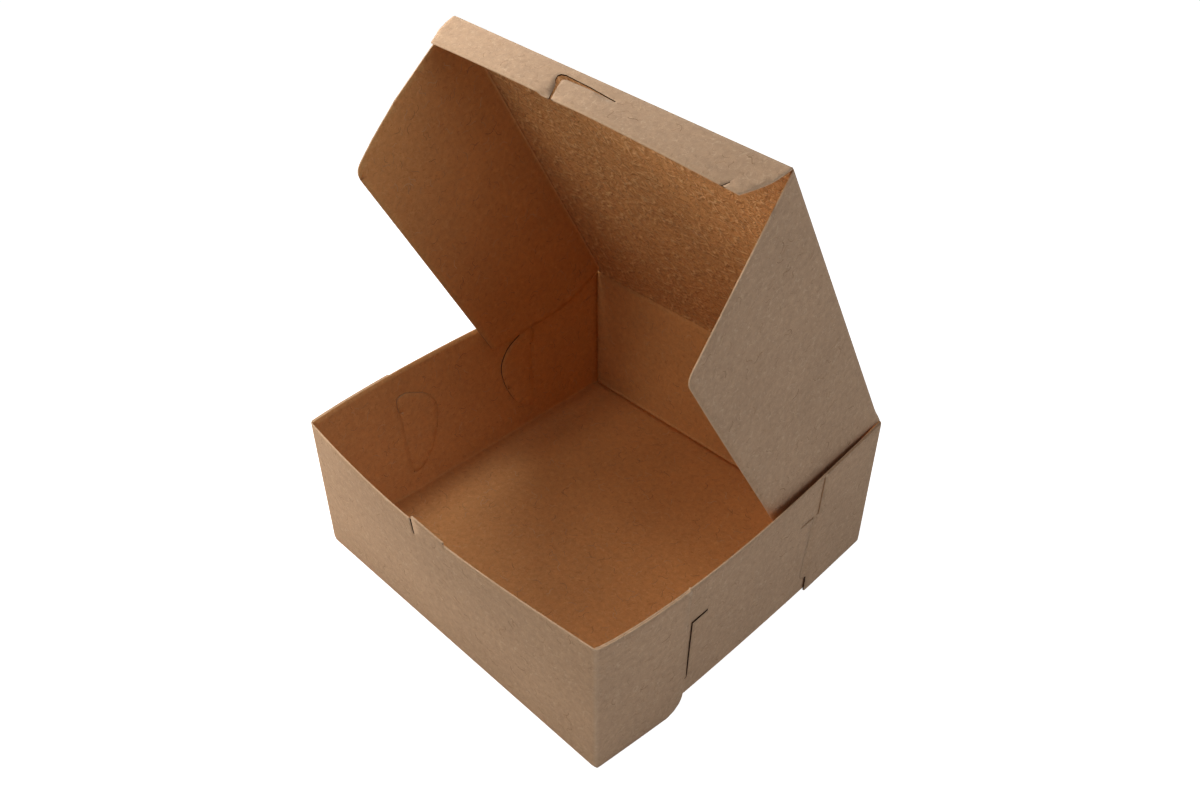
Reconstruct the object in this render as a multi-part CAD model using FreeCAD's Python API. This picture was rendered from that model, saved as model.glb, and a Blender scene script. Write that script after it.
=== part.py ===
import FreeCAD, Part
import math
import os

# Kraft card cake and takeaway box, folded from one cut sheet.
# The tray has hooked corner tabs, and its lid is hinged on the back wall.
# Origin: the middle of the tray's underside. +Z is up and -Y is the front.
# The lid is modelled closed, with its three flaps, and is then turned open.

# Driving sizes, in millimetres and degrees
card = 0.45               # thickness of the board
tray_width = 152.0        # left to right, over the corner tabs
tray_depth = 152.0        # front to back
wall_height = 62.0
front_bow = 5.2           # how far the middle of each rim bulges outwards
side_bow = 4.8

# Gaps between layers of the one sheet and at its creases
layer_gap = 0.15          # between a side wall and the tab or hook lying on it
corner_gap = 0.20         # between the end of a side wall and the wall beside it
crease_gap = 0.30         # between two panels that turn about one crease
lid_gap = 0.30            # between the rims and the underside of the closed lid
side_fit = 0.25           # between a side flap and the hooks inside the tray
front_fit = 1.50          # between the lid's front crease and the front wall
floor_fit = 1.30          # between a side flap's free edge and the tray floor

# Corner tabs: each is folded round a corner and lies outside the side wall
front_tab_rim_length = 38.5   # corner to the free edge, measured at the rim
rear_tab_rim_length = 34.0
tab_foot_length = 36.0        # corner to the free edge, measured at the foot
tab_foot_chamfer = 3.0
tab_splay = 3.4               # how far the foot of the free edge springs out

# Hooks: each tab ends in a neck that passes through a slit in the side wall
slit_from_corner = 45.0
neck_above_floor = 9.0        # lower edge of the neck
neck_below_rim = 25.0         # upper edge of the neck
slit_fit = 0.25               # between the neck and the slit round it
slit_leg = 9.5                # level cut that runs on from the top of the slit
slit_cut = 0.60               # width of that cut
hook_reach = 14.0             # from the slit to the hook's rounded end
hook_crown_below_rim = 24.0   # the rounded end's furthest point
hook_top_below_rim = 10.0
hook_barb = 6.5               # from the slit back towards the corner
barb_height = 8.0             # of the barb's free end, down from the hook's top
barb_radius = 2.0

# Lock tongue, cut in the front wall's rim
tongue_left = 68.8            # from the tray's left corner
tongue_width = 16.8
tongue_rise_left = 2.6        # how far the tongue stands above the rim
tongue_rise_right = 1.4
tongue_slit_width = 0.70
tongue_slit_depth = 7.0

# Lid and its flaps
lid_open_angle = 61.2         # from closed to the pose that is modelled
flap_front_taper = 17.5       # the side flap's front edge leans back by this
flap_rear_taper = 17.0        # and its rear edge leans forward by this
flap_front_radius = 7.0
flap_rear_radius = 3.0
flap_end_gap = 1.0            # between a side flap and the front flap's crease
front_flap_depth = 14.6
front_flap_lean = 3.0         # outwards from square, in degrees
front_flap_inset = 5.5        # each end curves in by this at the free edge
front_flap_end_bulge = 1.2    # how far that curve stands out from a straight end

# Slot in the front flap, for the tongue
slot_lead = 6.3               # from the slot's left end to the tongue
slot_end_fit = 0.4            # from the tongue to the slot's right end
slot_drop = 4.1               # from the crease down to the slot
slot_cut = 0.60
slot_return_drop = 4.2        # the short return at the slot's right end
slot_return_run = 4.6

# Places that follow from the sizes
half_width = tray_width / 2
half_depth = tray_depth / 2
neck_high = wall_height - neck_below_rim
hook_top = wall_height - hook_top_below_rim
hook_crown = wall_height - hook_crown_below_rim
barb_low = hook_top - barb_height
hinge_y = half_depth
hinge_z = wall_height + lid_gap
lid_length = tray_depth - front_fit
flap_face = half_width - 3 * card - 2 * layer_gap - side_fit
flap_depth = wall_height + lid_gap - card - floor_fit

ORIGIN = FreeCAD.Vector(0, 0, 0)
X_AXIS = FreeCAD.Vector(1, 0, 0)
Y_AXIS = FreeCAD.Vector(0, 1, 0)
Z_AXIS = FreeCAD.Vector(0, 0, 1)


def vec(x, y, z):
    return FreeCAD.Vector(x, y, z)


def block(low, high):
    size = high - low
    return Part.makeBox(size.x, size.y, size.z, low)


def prism(outline, low, high):
    """Solid with this XZ outline, reaching in Y from low to high."""
    edges = []
    for edge in outline:
        if isinstance(edge, Part.Shape):
            edges.append(edge)
            continue
        edges.append(Part.makeLine(edge[0], edge[1]))
    face = Part.Face(Part.Wire(edges))
    face.translate(vec(0, low, 0))
    return face.extrude(vec(0, high - low, 0))


def corners_to_edges(points):
    """Straight edges round a closed outline of (x, z) points."""
    flat = [vec(x, 0, z) for x, z in points]
    return [(flat[i], flat[(i + 1) % len(flat)]) for i in range(len(flat))]


def arc(first, middle, last):
    """Arc through three (x, z) points."""
    a, b, c = [vec(x, 0, z) for x, z in (first, middle, last)]
    return Part.Arc(a, b, c).toShape()


def band(line_low, line_high):
    """Closed wire of one board layer: two long edges joined by two short ends."""
    ends = [
        Part.makeLine(line_low.lastVertex().Point, line_high.lastVertex().Point),
        Part.makeLine(line_low.firstVertex().Point, line_high.firstVertex().Point),
    ]
    return Part.Wire(Part.__sortEdges__([line_low, ends[0], line_high, ends[1]]))


def straight(x_from, y_from, x_to, y_to, z):
    return Part.makeLine(vec(x_from, y_from, z), vec(x_to, y_to, z))


def bowed_sheet(half_span, bow, top, inner, outer):
    """Upright board between two offsets, straight at its foot and bowed at its rim.

    It runs along X about the middle, faces +Y, and its bow grows with the height.
    """
    rise = bow * top / wall_height

    def rim(offset):
        return Part.Arc(
            vec(-half_span, offset, top),
            vec(0, offset + rise, top),
            vec(half_span, offset, top),
        ).toShape()

    foot = band(
        straight(-half_span, inner, half_span, inner, 0),
        straight(-half_span, outer, half_span, outer, 0),
    )
    return Part.makeLoft([foot, band(rim(inner), rim(outer))], True, True)


def bow_at(half_span, bow, x):
    """Outward offset of the rim's arc at a distance x from its middle."""
    radius = (half_span**2 + bow**2) / (2 * bow)
    return math.sqrt(radius**2 - x**2) - (radius - bow)


def tab_sheet(inner, outer, inner_splay):
    """Board along one corner tab: it follows the rim, and its foot splays outwards.

    The corner is at the low X end, and the board faces +Y. The outer face always
    splays, and the inner face by inner_splay.
    """
    corner = -half_depth
    length = slit_from_corner + 2 * card
    end = corner + length
    middle = corner + length / 2
    growth = length / tab_foot_length

    def rim(offset):
        return Part.Arc(
            vec(corner, offset, wall_height),
            vec(middle, offset + bow_at(half_depth, side_bow, middle), wall_height),
            vec(end, offset + bow_at(half_depth, side_bow, end), wall_height),
        ).toShape()

    foot = band(
        straight(corner, inner, end, inner + inner_splay * growth, 0),
        straight(corner, outer, end, outer + tab_splay * growth, 0),
    )
    return Part.makeLoft([foot, band(rim(inner), rim(outer))], True, True)


def tab_outline(corner, rim_length):
    """Tab from the corner to its free edge, with the neck that enters the slit."""
    neck_end = corner + slit_from_corner + card
    foot_end = corner + tab_foot_length
    return corners_to_edges([
        (corner, 0),
        (foot_end, 0),
        (foot_end + tab_foot_chamfer, tab_foot_chamfer),
        (foot_end + tab_foot_chamfer, neck_above_floor),
        (neck_end, neck_above_floor),
        (neck_end, neck_high),
        (corner + rim_length, neck_high),
        (corner + rim_length, wall_height),
        (corner, wall_height),
    ])


def hook_outline(corner):
    """Hook inside the wall: a rounded end past the slit and a barb behind it."""
    slit = corner + slit_from_corner
    tip = slit + hook_reach
    barb = slit - hook_barb
    lean = hook_reach * math.cos(math.radians(30))
    upper = (slit + lean, (hook_top + hook_crown) / 2)
    lower = (slit + lean, (neck_above_floor + hook_crown) / 2)
    turn = barb_radius * (1 - math.cos(math.radians(45)))
    return [
        arc((slit, hook_top), upper, (tip, hook_crown)),
        arc((tip, hook_crown), lower, (slit, neck_above_floor)),
        (vec(slit, 0, neck_above_floor), vec(slit, 0, neck_high)),
        (vec(slit, 0, neck_high), vec(barb, 0, barb_low)),
        (vec(barb, 0, barb_low), vec(barb, 0, hook_top - barb_radius)),
        arc(
            (barb, hook_top - barb_radius),
            (barb + turn, hook_top - turn),
            (barb + barb_radius, hook_top),
        ),
        (vec(barb + barb_radius, 0, hook_top), vec(slit, 0, hook_top)),
    ]


def slit_cutter(corner, low, high):
    """The upright slit that the neck passes through, and its level leg."""
    slit = corner + slit_from_corner
    upright = block(
        vec(slit - slit_fit, low, neck_above_floor - slit_fit),
        vec(slit + card + slit_fit, high, neck_high + slit_fit),
    )
    leg = block(
        vec(slit, low, neck_high + slit_fit - slit_cut),
        vec(slit + slit_leg, high, neck_high + slit_fit),
    )
    return upright.fuse(leg)


def corner_tab(rim_length):
    """Tab, neck and hook of one corner, on a side wall that faces +Y."""
    corner = -half_depth
    slit = corner + slit_from_corner
    hook_outer = -2 * card - 2 * layer_gap
    hook_inner = hook_outer - card
    reach = 2 * (side_bow + tab_splay)

    layer = tab_sheet(-card, 0, tab_splay)
    tab = layer.common(prism(tab_outline(corner, rim_length), -reach, reach))
    bridge = tab_sheet(hook_inner, 0, 0)
    across = block(vec(slit, -reach, neck_above_floor), vec(slit + card, reach, neck_high))
    neck = bridge.common(across)
    sheet = bowed_sheet(half_depth, side_bow, wall_height, hook_inner, hook_outer)
    hook = sheet.common(prism(hook_outline(corner), -reach, reach))
    return [tab, neck, hook]


def side_wall():
    """One side wall facing +Y with its two tabs; the front corner is at low X."""
    outer = -card - layer_gap
    half_span = half_depth - card - corner_gap
    sheet = bowed_sheet(half_depth, side_bow, wall_height, outer - card, outer)
    keep = block(
        vec(-half_span, outer - card - side_bow, 0),
        vec(half_span, side_bow, wall_height),
    )
    wall = sheet.common(keep)
    cutter = slit_cutter(-half_depth, outer - card - side_bow, side_bow)
    wall = wall.cut(cutter).cut(cutter.mirror(ORIGIN, X_AXIS))
    pieces = [wall] + corner_tab(front_tab_rim_length)
    for piece in corner_tab(rear_tab_rim_length):
        pieces.append(piece.mirror(ORIGIN, X_AXIS))
    return pieces


def front_wall():
    """Front wall facing +Y before it is turned to the front, with its tongue."""
    left = half_width - tongue_left
    right = left - tongue_width
    rise = max(tongue_rise_left, tongue_rise_right)
    sheet = bowed_sheet(half_width, front_bow, wall_height + rise, -card, 0)
    outline = corners_to_edges([
        (-half_width, 0),
        (half_width, 0),
        (half_width, wall_height),
        (left, wall_height),
        (left, wall_height + tongue_rise_left),
        (right, wall_height + tongue_rise_right),
        (right, wall_height),
        (-half_width, wall_height),
    ])
    reach = 2 * front_bow + card
    wall = sheet.common(prism(outline, -reach, reach))
    slit = block(
        vec(left, -reach, wall_height - tongue_slit_depth),
        vec(left + tongue_slit_width, reach, wall_height + rise),
    )
    return wall.cut(slit)


def turned(piece, angle, shift):
    """A wall turned about Z from facing +Y, and set out from the middle."""
    moved = piece.copy()
    moved.translate(vec(0, shift, 0))
    moved.rotate(ORIGIN, Z_AXIS, angle)
    return moved


def make_tray():
    inner_x = half_width - 2 * card - layer_gap
    floor = block(
        vec(-inner_x - card, -half_depth, 0),
        vec(inner_x + card, half_depth, card),
    )
    back = block(
        vec(-half_width, half_depth - card, 0),
        vec(half_width, half_depth, wall_height),
    )
    pieces = [back, turned(front_wall(), 180, half_depth)]
    for piece in side_wall():
        right = turned(piece, -90, half_width).mirror(ORIGIN, Y_AXIS)
        pieces += [right, right.mirror(ORIGIN, X_AXIS)]
    return floor.multiFuse(pieces).removeSplitter()


def opened(piece):
    """Turns a piece of the closed lid about the back hinge to its open pose."""
    moved = piece.copy()
    moved.rotate(vec(0, hinge_y, hinge_z), X_AXIS, -lid_open_angle)
    return moved


def make_lid():
    panel = block(
        vec(-flap_face, hinge_y - lid_length, hinge_z),
        vec(flap_face, hinge_y - crease_gap, hinge_z + card),
    )
    return opened(panel)


def side_flap():
    """Left flap of the closed lid, hanging inside the tray's left wall."""
    top = -crease_gap
    bottom = top - flap_depth
    front = lid_length - card - flap_end_gap
    rear = 2 * crease_gap + card
    front_low = front - flap_depth * math.tan(math.radians(flap_front_taper))
    rear_low = rear + flap_depth * math.tan(math.radians(flap_rear_taper))
    outline = Part.Face(Part.makePolygon([
        vec(0, -rear, top),
        vec(0, -front, top),
        vec(0, -front_low, bottom),
        vec(0, -rear_low, bottom),
        vec(0, -rear, top),
    ]))
    plate = outline.extrude(vec(card, 0, 0))
    plate = rounded(plate, -front_low, bottom, flap_front_radius)
    plate = rounded(plate, -rear_low, bottom, flap_rear_radius)
    plate.translate(vec(-flap_face, hinge_y, hinge_z))
    return plate


def rounded(plate, y, z, radius):
    """Rounds the edge that crosses the board at one (y, z) corner."""
    chosen = []
    for edge in plate.Edges:
        middle = edge.CenterOfMass
        if math.hypot(middle.y - y, middle.z - z) < crease_gap:
            chosen.append(edge)
    return plate.makeFillet(radius, chosen)


def front_flap():
    """Front flap of the closed lid, with curved ends and the tongue's slot."""
    half_top = flap_face - crease_gap
    half_free = half_top - front_flap_inset
    half_middle = (half_top + half_free) / 2 + front_flap_end_bulge
    top = -crease_gap
    bottom = top - front_flap_depth
    middle = (top + bottom) / 2
    outline = [
        (vec(-half_top, 0, top), vec(half_top, 0, top)),
        arc((half_top, top), (half_middle, middle), (half_free, bottom)),
        (vec(half_free, 0, bottom), vec(-half_free, 0, bottom)),
        arc((-half_free, bottom), (-half_middle, middle), (-half_top, top)),
    ]
    plate = prism(outline, 0, card)
    for cut in slot_cutters(bottom):
        plate = plate.cut(cut)
    plate.rotate(vec(0, 0, top), X_AXIS, -front_flap_lean)
    plate.translate(vec(0, hinge_y - lid_length, hinge_z))
    return plate


def slot_cutters(bottom):
    """Slot below the crease, open to the free edge on the left, short return right."""
    tongue = tongue_left - half_width
    left = tongue - slot_lead
    right = tongue + tongue_width + slot_end_fit
    high = -slot_drop
    low = high - slot_cut
    along = block(vec(left, -card, low), vec(right, 2 * card, high))
    down = block(vec(left, -card, bottom), vec(left + slot_cut, 2 * card, high))
    back = prism(
        corners_to_edges([
            (right, high),
            (right, low),
            (right - slot_return_run, low - slot_return_drop),
            (right - slot_return_run, low - slot_return_drop + slot_cut),
        ]),
        -card,
        2 * card,
    )
    return [along, down, back]


def write(name, solid):
    solid.exportStep("parts/" + name + ".step")
    print(name, "solids", len(solid.Solids), "valid", solid.isValid())


os.makedirs("parts", exist_ok=True)
left_flap = side_flap()
right_flap = left_flap.mirror(ORIGIN, X_AXIS)
write("tray", make_tray())
write("lid", make_lid())
write("left_flap", opened(left_flap))
write("right_flap", opened(right_flap))
write("front_flap", opened(front_flap()))
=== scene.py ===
import math

import bpy
import numpy as np
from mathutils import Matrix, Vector
from mathutils.geometry import delaunay_2d_cdt


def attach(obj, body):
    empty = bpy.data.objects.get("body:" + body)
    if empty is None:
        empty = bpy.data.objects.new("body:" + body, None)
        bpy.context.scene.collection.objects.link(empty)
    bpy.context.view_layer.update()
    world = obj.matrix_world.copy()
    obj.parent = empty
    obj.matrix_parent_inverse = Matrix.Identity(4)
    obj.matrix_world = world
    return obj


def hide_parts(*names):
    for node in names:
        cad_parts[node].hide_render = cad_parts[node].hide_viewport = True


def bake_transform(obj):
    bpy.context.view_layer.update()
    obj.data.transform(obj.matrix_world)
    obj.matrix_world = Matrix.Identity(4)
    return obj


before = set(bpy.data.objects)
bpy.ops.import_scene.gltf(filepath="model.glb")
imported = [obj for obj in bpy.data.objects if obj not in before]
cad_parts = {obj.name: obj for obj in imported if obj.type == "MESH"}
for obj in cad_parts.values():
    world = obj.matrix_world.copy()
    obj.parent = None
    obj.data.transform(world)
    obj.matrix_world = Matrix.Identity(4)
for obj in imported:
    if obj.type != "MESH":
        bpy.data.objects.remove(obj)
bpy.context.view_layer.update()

# The box is one cut sheet of kraft card. Each panel is cut flat here, in millimetres, and a
# function then folds, bows and places it: x to the right, y to the back and z up.
MM = 0.001
card = 0.45
layer_gap = 0.15
half = 76.0                      # half of the tray's width and of its depth
wall_height = 62.0
wall_middle = half - card / 2    # middle of the front and back walls' board
side_middle = half - 1.5 * card - layer_gap
floor_middle = card / 2
fold_reach = 1.0                 # how far each side of a crease the board curves
floor_lip = 1.0                  # floor that belongs to the front and back walls
corner_fit = 0.25                # between a side wall's end and the wall beside it

# Points of the flat card
outline_step = 1.3
hole_step = 0.8
grid_step = 3.2
crease_rows_at = (-1.0, -0.5, 0, 0.5, 1.0)  # rows of points beside a crease
crease_clear = 1.6               # and the grid's distance from it
edge_clear = 0.12                # from a cut edge
on_edge = 0.15                   # points this close to a cut or a join belong to it
far_away = 9.0                   # longest distance to an edge or a fold that is kept

# Rims that bulge outwards: height of the bulge and how far its peak is shifted
front_bulge = (5.2, 0.93)
right_bulge = (5.2, 0.70)
left_bulge = (3.9, 0.80)
right_foot_bulge = (1.2, 0.9)
floor_stretch = 30.0             # width of the floor's edge that follows the wall's foot

# Corner tabs, measured from the corner that they are folded round
tab_rim = 38.9
tab_foot = 36.0
front_tab_splay = 2.7            # how far the foot of the tab springs out
rear_tab_splay = 0.3
splay_height = 30.0              # the splay fades out up to here
splay_power = 1.3
front_tab_foot = [(31.9, 0.0), (35.1, 1.3), (37.5, 3.3), (38.9, 5.6), (40.2, 8.4)]
rear_tab_foot = [(38.2, 0.0), (39.0, 0.8), (39.2, 8.8), (40.0, 9.2)]
neck_low = 9.4
neck_high = 42.0
slit_low = (43.0, 9.5)           # two points on the slit that the neck goes through
slit_high = (41.6, 42.4)
slit_half_width = 0.95
rear_slit_half_width = 0.14
neck_dip = 0.7                   # half of the length over which the neck dips inwards
held_along = (36.0, 44.0)        # the neck holds the tab in: from the corner
held_up = (4.0, 12.0)            # and from the foot
barb_slope = 3.0                 # how fast the dip runs back to the barb above the neck
slit_leg_end = (49.8, 42.2)
slit_leg_width = 1.0
hook_curve = [
    (44.0, 50.4), (48.4, 48.2), (53.0, 45.6), (56.2, 41.8), (58.0, 37.7),
    (58.0, 32.5), (56.4, 25.7), (53.0, 18.0), (48.2, 12.0), (44.6, 9.7),
]
barb_tip = 39.1
barb_low = 43.6
barb_high = 50.3
front_hook_shade = 0.15           # painted shade on the hooks' cut edges, for the shadow gap between hook and wall
rear_hook_shade = 1.0

# Lock tongue in the front rim, from the tray's left corner
tongue_left = 68.8
tongue_right = 85.6
tongue_rise_left = 2.6
tongue_rise_right = 1.4
tongue_slit_width = 0.7
tongue_slit_depth = 7.0

# Lid, open; its board is a little twisted, so each side stands at its own angle
hinge_y = half
hinge_z = wall_height + 0.3
lid_angle = 61.2
lid_twist_left = 0.95
lid_twist_right = -1.05
lid_length = 150.5
flap_middle = 73.875             # middle of the side flaps' board
hinge_reach = 1.2                # how far each side of the hinge's crease the board curves
hinge_flare = 0.8                # how much the fold flares outwards at the hinge
hinge_flare_length = 8.0

# Side flaps: front edge as depth from the fold and distance from the hinge, and the
# radius of the front corner
left_flap = ([(0.6, 149.4), (13.5, 148.4), (35.0, 144.3), (50.0, 139.9), (62.0, 135.4)], 6.0)
right_flap = ([(0.6, 149.4), (59.9, 125.7)], 5.0)
flap_lean = 0.3                  # outwards, in degrees
flap_rear = 0.5                  # from the hinge to the start of the side fold
flap_rear_inset = 18.5
flap_rear_sag = (25.0, 2.6)      # a point of the rear edge, which is a little hollow
flap_depth = 62.0
flap_curl = (0.4, 1.5)           # how far the rear of the left and right flap curls out
flap_curl_fade = (20.0, 110.0)   # from the hinge: full curl, and no curl
flap_rear_radius = 3.5
flap_shadow_length = 17.0           # length of the painted shadow line on the left flap's lower edge, where it stands off the wall
flap_shadow_tone = 0.8

# Front flap, with the tongue's slot and the small nick in its free edge
front_flap_depth = 14.8
front_flap_insets = (4.2, 7.4)   # left and right end
front_flap_end_bulge = 1.4
front_flap_lean = (9.0, 3.0, 8.0)  # at the left and right end, and added in the middle
front_flap_half = 73.9
slot_path = [
    (66.0, 14.8), (62.8, 9.6), (60.7, 5.6), (61.2, 4.4), (63.0, 3.9), (74.0, 4.3), (86.4, 5.2),
    (86.2, 5.6), (74.0, 5.0), (63.6, 4.9), (62.6, 5.3), (62.3, 6.0), (64.0, 9.5), (66.9, 14.8),
]
lug_left = 62.0
lug_right = 83.0
lug_push = 1.2                   # how far in the lug's left side is pushed
nick = [(136.4, 14.8), (137.5, 12.7), (137.8, 12.8), (136.8, 14.8)]

# Loose fibres, in metres; the curls are the curve's two handles for a length of 1
fibre_length = 0.0042
fibre_radius = 0.00011
fibre_flatness = 0.22
fibre_clearance = 3.4            # millimetres from any edge or crease
fibre_sparse = 26000             # in each square metre
fibre_dense = 42000
fibre_curls = [
    ((-0.3, 0.4, 0), (0.25, 0.3, 0)),
    ((-0.2, 0.6, 0), (0.3, -0.5, 0)),
    ((0.1, 0.3, 0), (0.2, 0.1, 0)),
    ((-0.1, 0.4, 0), (0.1, 0.35, 0)),
    ((-0.1, -0.2, 0), (0.4, 0.35, 0)),
    ((-0.1, -0.5, 0), (0.15, 0.5, 0)),
]

# Colours; a face has its base, its pale fibres and its dark fibres
outside_tones = ((0.48, 0.31, 0.19), (0.72, 0.53, 0.36), (0.27, 0.155, 0.08))
# The inside faces are the same kraft as the outside: their deeper, more orange tones are painted
# shade from light bounced inside the box
inside_shaded_tones = ((0.59, 0.288, 0.105), (0.76, 0.44, 0.20), (0.30, 0.115, 0.03))
lid_inside_shaded_tones = ((0.59, 0.288, 0.105), (0.80, 0.48, 0.22), (0.28, 0.105, 0.03))
edge_tone = (0.60, 0.40, 0.245)
shaded_seam_tone = (0.30, 0.14, 0.05)   # cut edges where two boards are one sheet, painted dark as shade so they show no lit line
painted_gap_shade = (0.035, 0.018, 0.008)  # painted shade on cut edges of slits, slots, hooks and tab ends, for the shadow in their narrow gaps
fibre_dark = (0.20, 0.105, 0.045)
fibre_brown = (0.38, 0.225, 0.115)
fibre_straw = (0.66, 0.46, 0.28)

# Studio, in metres and degrees
floor_reach = 4.0
floor_tone = (0.80, 0.80, 0.80)
floor_glow = 0.92
world_tone = (0.90, 0.95, 1.0)
world_light = 0.08
camera_place = (0.2307, -0.2281, 0.3309)
camera_turn = -45.07
camera_down = 38.45
camera_lens = 33.68
camera_sensor = 36.0

# Lamps: name, place, target, size, power and colour
lamps = [
    ("key", (-0.16, -0.01, 0.38), (-0.02, -0.02, 0.12), 0.12, 0.54, (0.96, 0.98, 1.0)),
    ("left", (-0.32, -0.17, 0.17), (0.0, -0.06, 0.08), 0.12, 0.70, (1.0, 0.93, 0.85)),
    ("front", (0.0, -0.90, 0.45), (0.0, 0.0, 0.05), 0.6, 0.74, (1.0, 0.92, 0.81)),
    ("front_left", (-0.28, -0.70, 0.62), (0.0, 0.0, 0.06), 0.25, 1.30, (1.0, 0.93, 0.84)),
    ("right", (0.72, 0.02, 0.44), (0.0, 0.0, 0.05), 0.5, 1.74, (0.90, 0.93, 1.0)),
    ("top", (0.10, -0.20, 0.90), (0.0, 0.0, 0.05), 0.6, 0.3, (1.0, 0.98, 0.95)),
]


def smooth(low, high, value):
    """0 below low, 1 above high and a smooth step between them."""
    share = np.clip((value - low) / (high - low), 0, 1)
    return share * share * (3 - 2 * share)


def bulge(shape, along):
    """Outward bulge at a share along the rim, 0 at both ends."""
    height, skew = shape
    return height * np.sin(math.pi * np.clip(along, 0, 1) ** skew)


def folded(distance, reach=fold_reach):
    """Travel across a crease: how far along the first and along the second panel."""
    share = np.clip((distance + reach) / (2 * reach), 0, 1)
    first = np.where(distance < -reach, distance, -reach * (1 - share) ** 2)
    second = np.where(distance > reach, distance, reach * share**2)
    first = np.where(distance > reach, 0, first)
    second = np.where(distance < -reach, 0, second)
    return first, second


def curve_through(points, steps=5):
    """Smooth curve through a few points, as a longer list of points."""
    ends = [points[0]] + list(points) + [points[-1]]
    rows = np.array(ends, float)
    out = []
    for i in range(1, len(rows) - 2):
        a, b, c, d = rows[i - 1:i + 3]
        for t in np.linspace(0, 1, steps, endpoint=False):
            out.append(0.5 * (
                2 * b + (c - a) * t + (2 * a - 5 * b + 4 * c - d) * t**2
                + (3 * b - a - 3 * c + d) * t**3
            ))
    out.append(rows[-2])
    return [tuple(point) for point in out]


def rounded_corner(before, corner, after, radius, steps=7):
    """Points that round one corner of an outline."""
    p = np.array(corner, float)
    to_a = np.array(before, float) - p
    to_b = np.array(after, float) - p
    to_a /= np.linalg.norm(to_a)
    to_b /= np.linalg.norm(to_b)
    half_turn = math.acos(float(np.clip(to_a @ to_b, -1, 1))) / 2
    reach = radius / math.tan(half_turn)
    out = []
    for t in np.linspace(0, 1, steps):
        out.append(tuple(p + to_a * reach * (1 - t) ** 2 + to_b * reach * t**2))
    return out


def spread(loop, longest=outline_step):
    """The same loop with its long edges divided."""
    out = []
    for i, point in enumerate(loop):
        a = np.array(point, float)
        b = np.array(loop[(i + 1) % len(loop)], float)
        count = max(1, math.ceil(np.linalg.norm(b - a) / longest))
        out += [tuple(a + (b - a) * k / count) for k in range(count)]
    return out


def inside(points, loop):
    """Which points lie inside a closed loop."""
    x, y = points[:, 0], points[:, 1]
    result = np.zeros(len(points), bool)
    for i, (x0, y0) in enumerate(loop):
        x1, y1 = loop[(i + 1) % len(loop)]
        if y0 == y1:
            continue
        crosses = (y0 > y) != (y1 > y)
        result ^= crosses & (x < x0 + (x1 - x0) * (y - y0) / (y1 - y0))
    return result


def distance_to(points, segments):
    """Distance from each point to the nearest segment."""
    nearest = np.full(len(points), 1e9)
    for a, b in segments:
        a, b = np.array(a, float), np.array(b, float)
        along = b - a
        share = np.clip(((points - a) @ along) / max(along @ along, 1e-12), 0, 1)
        gap = points - (a + share[:, None] * along)
        nearest = np.minimum(nearest, np.hypot(gap[:, 0], gap[:, 1]))
    return nearest


def loop_segments(loop):
    """Edges of a closed loop, as pairs of points."""
    return [(loop[i], loop[(i + 1) % len(loop)]) for i in range(len(loop))]


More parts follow.
